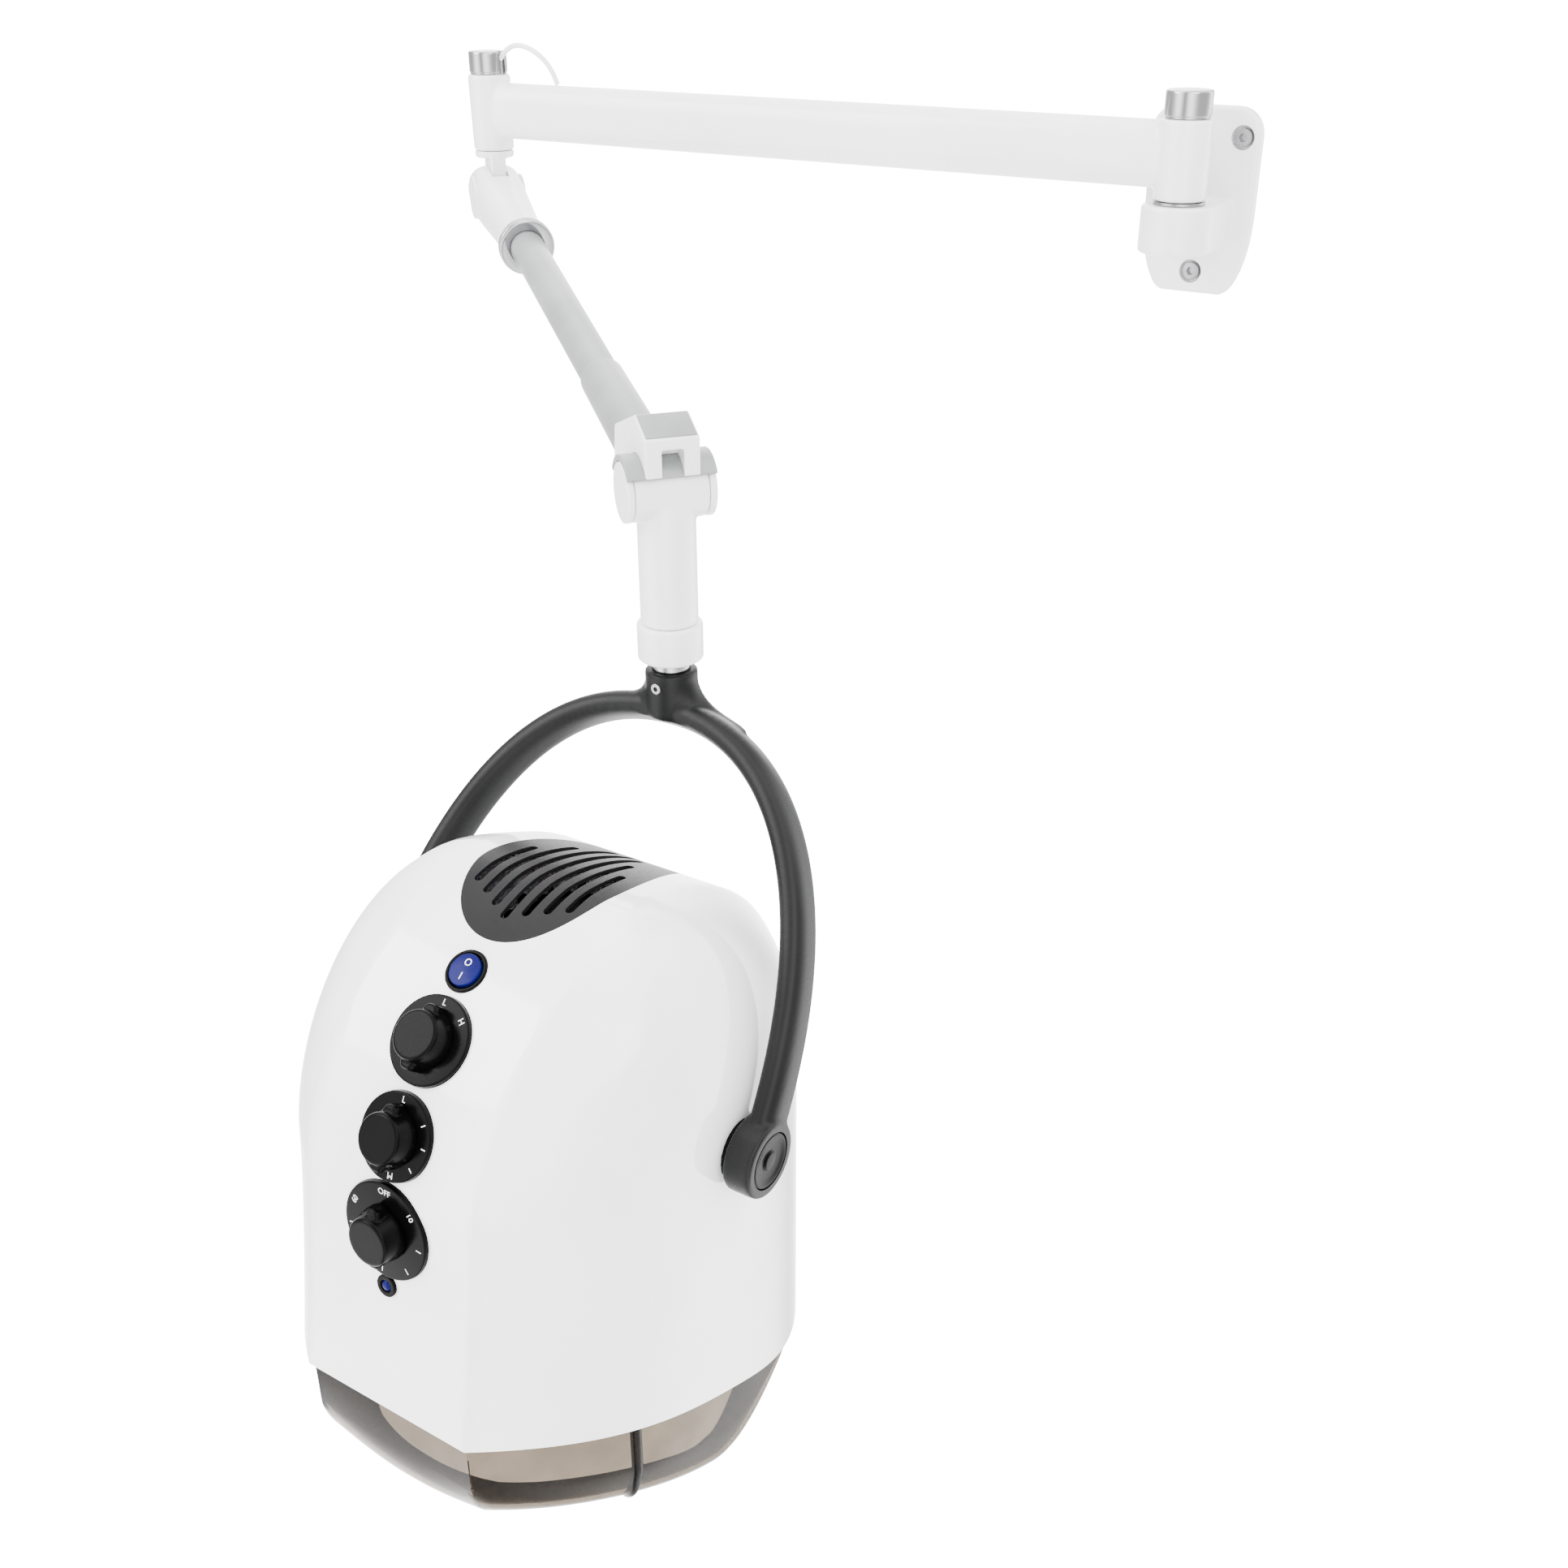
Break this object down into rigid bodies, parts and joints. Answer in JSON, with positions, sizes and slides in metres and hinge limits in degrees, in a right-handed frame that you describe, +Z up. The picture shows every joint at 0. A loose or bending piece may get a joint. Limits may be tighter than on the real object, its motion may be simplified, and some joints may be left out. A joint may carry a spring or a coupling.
{
  "type": "hood hair dryer",
  "caption": "Salon hood hair dryer with a smoked visor and front dials, hung in a yoke from a swinging wall arm and a spring-balanced elbow arm.",
  "frame": {"origin": "centre of the wall plate's back face", "axes": "+Z up, +Y into the wall, the room is towards -Y"},
  "size_m": [0.7326, 0.7493, 0.9338],
  "materials": {
    "white_paint": "white gloss paint",
    "gloss_white": "glossy white",
    "chrome": "polished",
    "satin_grey": "satin grey",
    "dark_grey": "dark grey satin paint",
    "black_plastic": "glossy black",
    "smoked_plastic": "smoked transparent",
    "blue_plastic": "blue",
    "steel": "bright"
  },
  "bodies": {
    "bracket": {"wall_plate": "white_paint", "wall_post": "chrome", "wall_post_cap": "chrome", "thrust_washer": "steel", "wall_screw_left": "steel", "wall_screw_right": "steel", "wall_screw_lower": "steel"},
    "arm": {"swing_arm": "white_paint", "elbow_cap": "chrome", "cable_loop": "white_paint"},
    "knuckle": {"elbow_knuckle": "white_paint"},
    "spring_arm": {"spring_housing": "white_paint", "upper_hinge_pin": "steel", "hinge_cap_left": "white_paint", "hinge_cap_right": "white_paint", "spring_ring": "chrome", "spring_tube": "satin_grey", "lower_sleeve": "satin_grey", "elbow_block": "satin_grey", "elbow_cover": "satin_grey", "elbow_cheek_left": "white_paint", "elbow_cheek_right": "white_paint", "lower_hinge_pin": "steel"},
    "stem": {"stem_tube": "white_paint", "stem_collar": "white_paint"},
    "yoke": {"swivel_stub": "chrome", "yoke": "dark_grey", "yoke_set_screw": "steel", "hub_cap_left": "dark_grey", "hub_cap_right": "dark_grey"},
    "hood": {"hood_shell": "gloss_white", "vent_grille": "dark_grey", "inner_bowl": "gloss_white", "front_visor": "smoked_plastic", "rear_visor": "smoked_plastic", "pivot_bolt_left": "steel", "pivot_bolt_right": "steel", "friction_washer_left": "black_plastic", "friction_washer_right": "black_plastic", "heat_dial": "black_plastic", "heat_control": "black_plastic", "speed_dial": "black_plastic", "speed_control": "black_plastic", "timer_dial": "black_plastic", "timer_control": "black_plastic", "switch_bezel": "black_plastic", "timer_lamp": "blue_plastic", "fan_motor": "steel", "heater_ring": "steel"},
    "heat_knob": {"heat_knob": "black_plastic"},
    "speed_knob": {"speed_knob": "black_plastic"},
    "timer_knob": {"timer_knob": "black_plastic"},
    "rocker": {"rocker_switch": "blue_plastic"},
    "fan": {"blower_fan": "black_plastic"}
  },
  "joints": [
    {"name": "arm_swing", "type": "hinge", "parent": "bracket", "child": "arm", "pos_m": [0, -0.052, 0.036], "axis": [0, 0, 1], "range_deg": [0, 170]},
    {"name": "elbow_swivel", "type": "hinge", "parent": "arm", "child": "knuckle", "pos_m": [-0.657, -0.052, 0.036], "axis": [0, 0, -1], "range_deg": [-20, 140]},
    {"name": "spring_tilt", "type": "hinge", "parent": "knuckle", "child": "spring_arm", "pos_m": [-0.657, -0.052, -0.039], "axis": [-0.6198, -0.7848, 0], "range_deg": [-25, 20]},
    {"name": "stem_tilt", "type": "hinge", "parent": "spring_arm", "child": "stem", "pos_m": [-0.21596, -0.40032, -0.157], "axis": [-0.6198, -0.7848, 0], "range_deg": [-20, 25]},
    {"name": "yoke_swivel", "type": "hinge", "parent": "stem", "child": "yoke", "pos_m": [-0.21596, -0.40032, -0.157], "axis": [0, 0, 1], "range_deg": [-120, 120]},
    {"name": "hood_tilt", "type": "hinge", "parent": "yoke", "child": "hood", "pos_m": [-0.21596, -0.55432, -0.547], "axis": [-1, 0, 0], "range_deg": [-10, 30]},
    {"name": "heat_knob_turn", "type": "hinge", "parent": "hood", "child": "heat_knob", "pos_m": [-0.21596, -0.66951, -0.45], "axis": [0, -0.723, 0.6909], "range_deg": [-140, 140]},
    {"name": "speed_knob_turn", "type": "hinge", "parent": "hood", "child": "speed_knob", "pos_m": [-0.21596, -0.70716, -0.501], "axis": [0, -0.8781, 0.4786], "range_deg": [-90, 90]},
    {"name": "timer_knob_turn", "type": "hinge", "parent": "hood", "child": "timer_knob", "pos_m": [-0.21596, -0.72518, -0.564], "axis": [0, -0.9915, 0.1303], "range_deg": [0, 300]},
    {"name": "rocker_tip", "type": "hinge", "parent": "hood", "child": "rocker", "pos_m": [-0.21596, -0.63239, -0.418], "axis": [1, 0, 0], "range_deg": [0, 12]},
    {"name": "fan_spin", "type": "hinge", "parent": "hood", "child": "fan", "pos_m": [-0.21596, -0.53432, -0.417], "axis": [0, 0, 1], "continuous": true}
  ],
  "couplings": [
    {"joint": "stem_tilt", "follows": "spring_tilt", "ratio": -1}
  ]
}
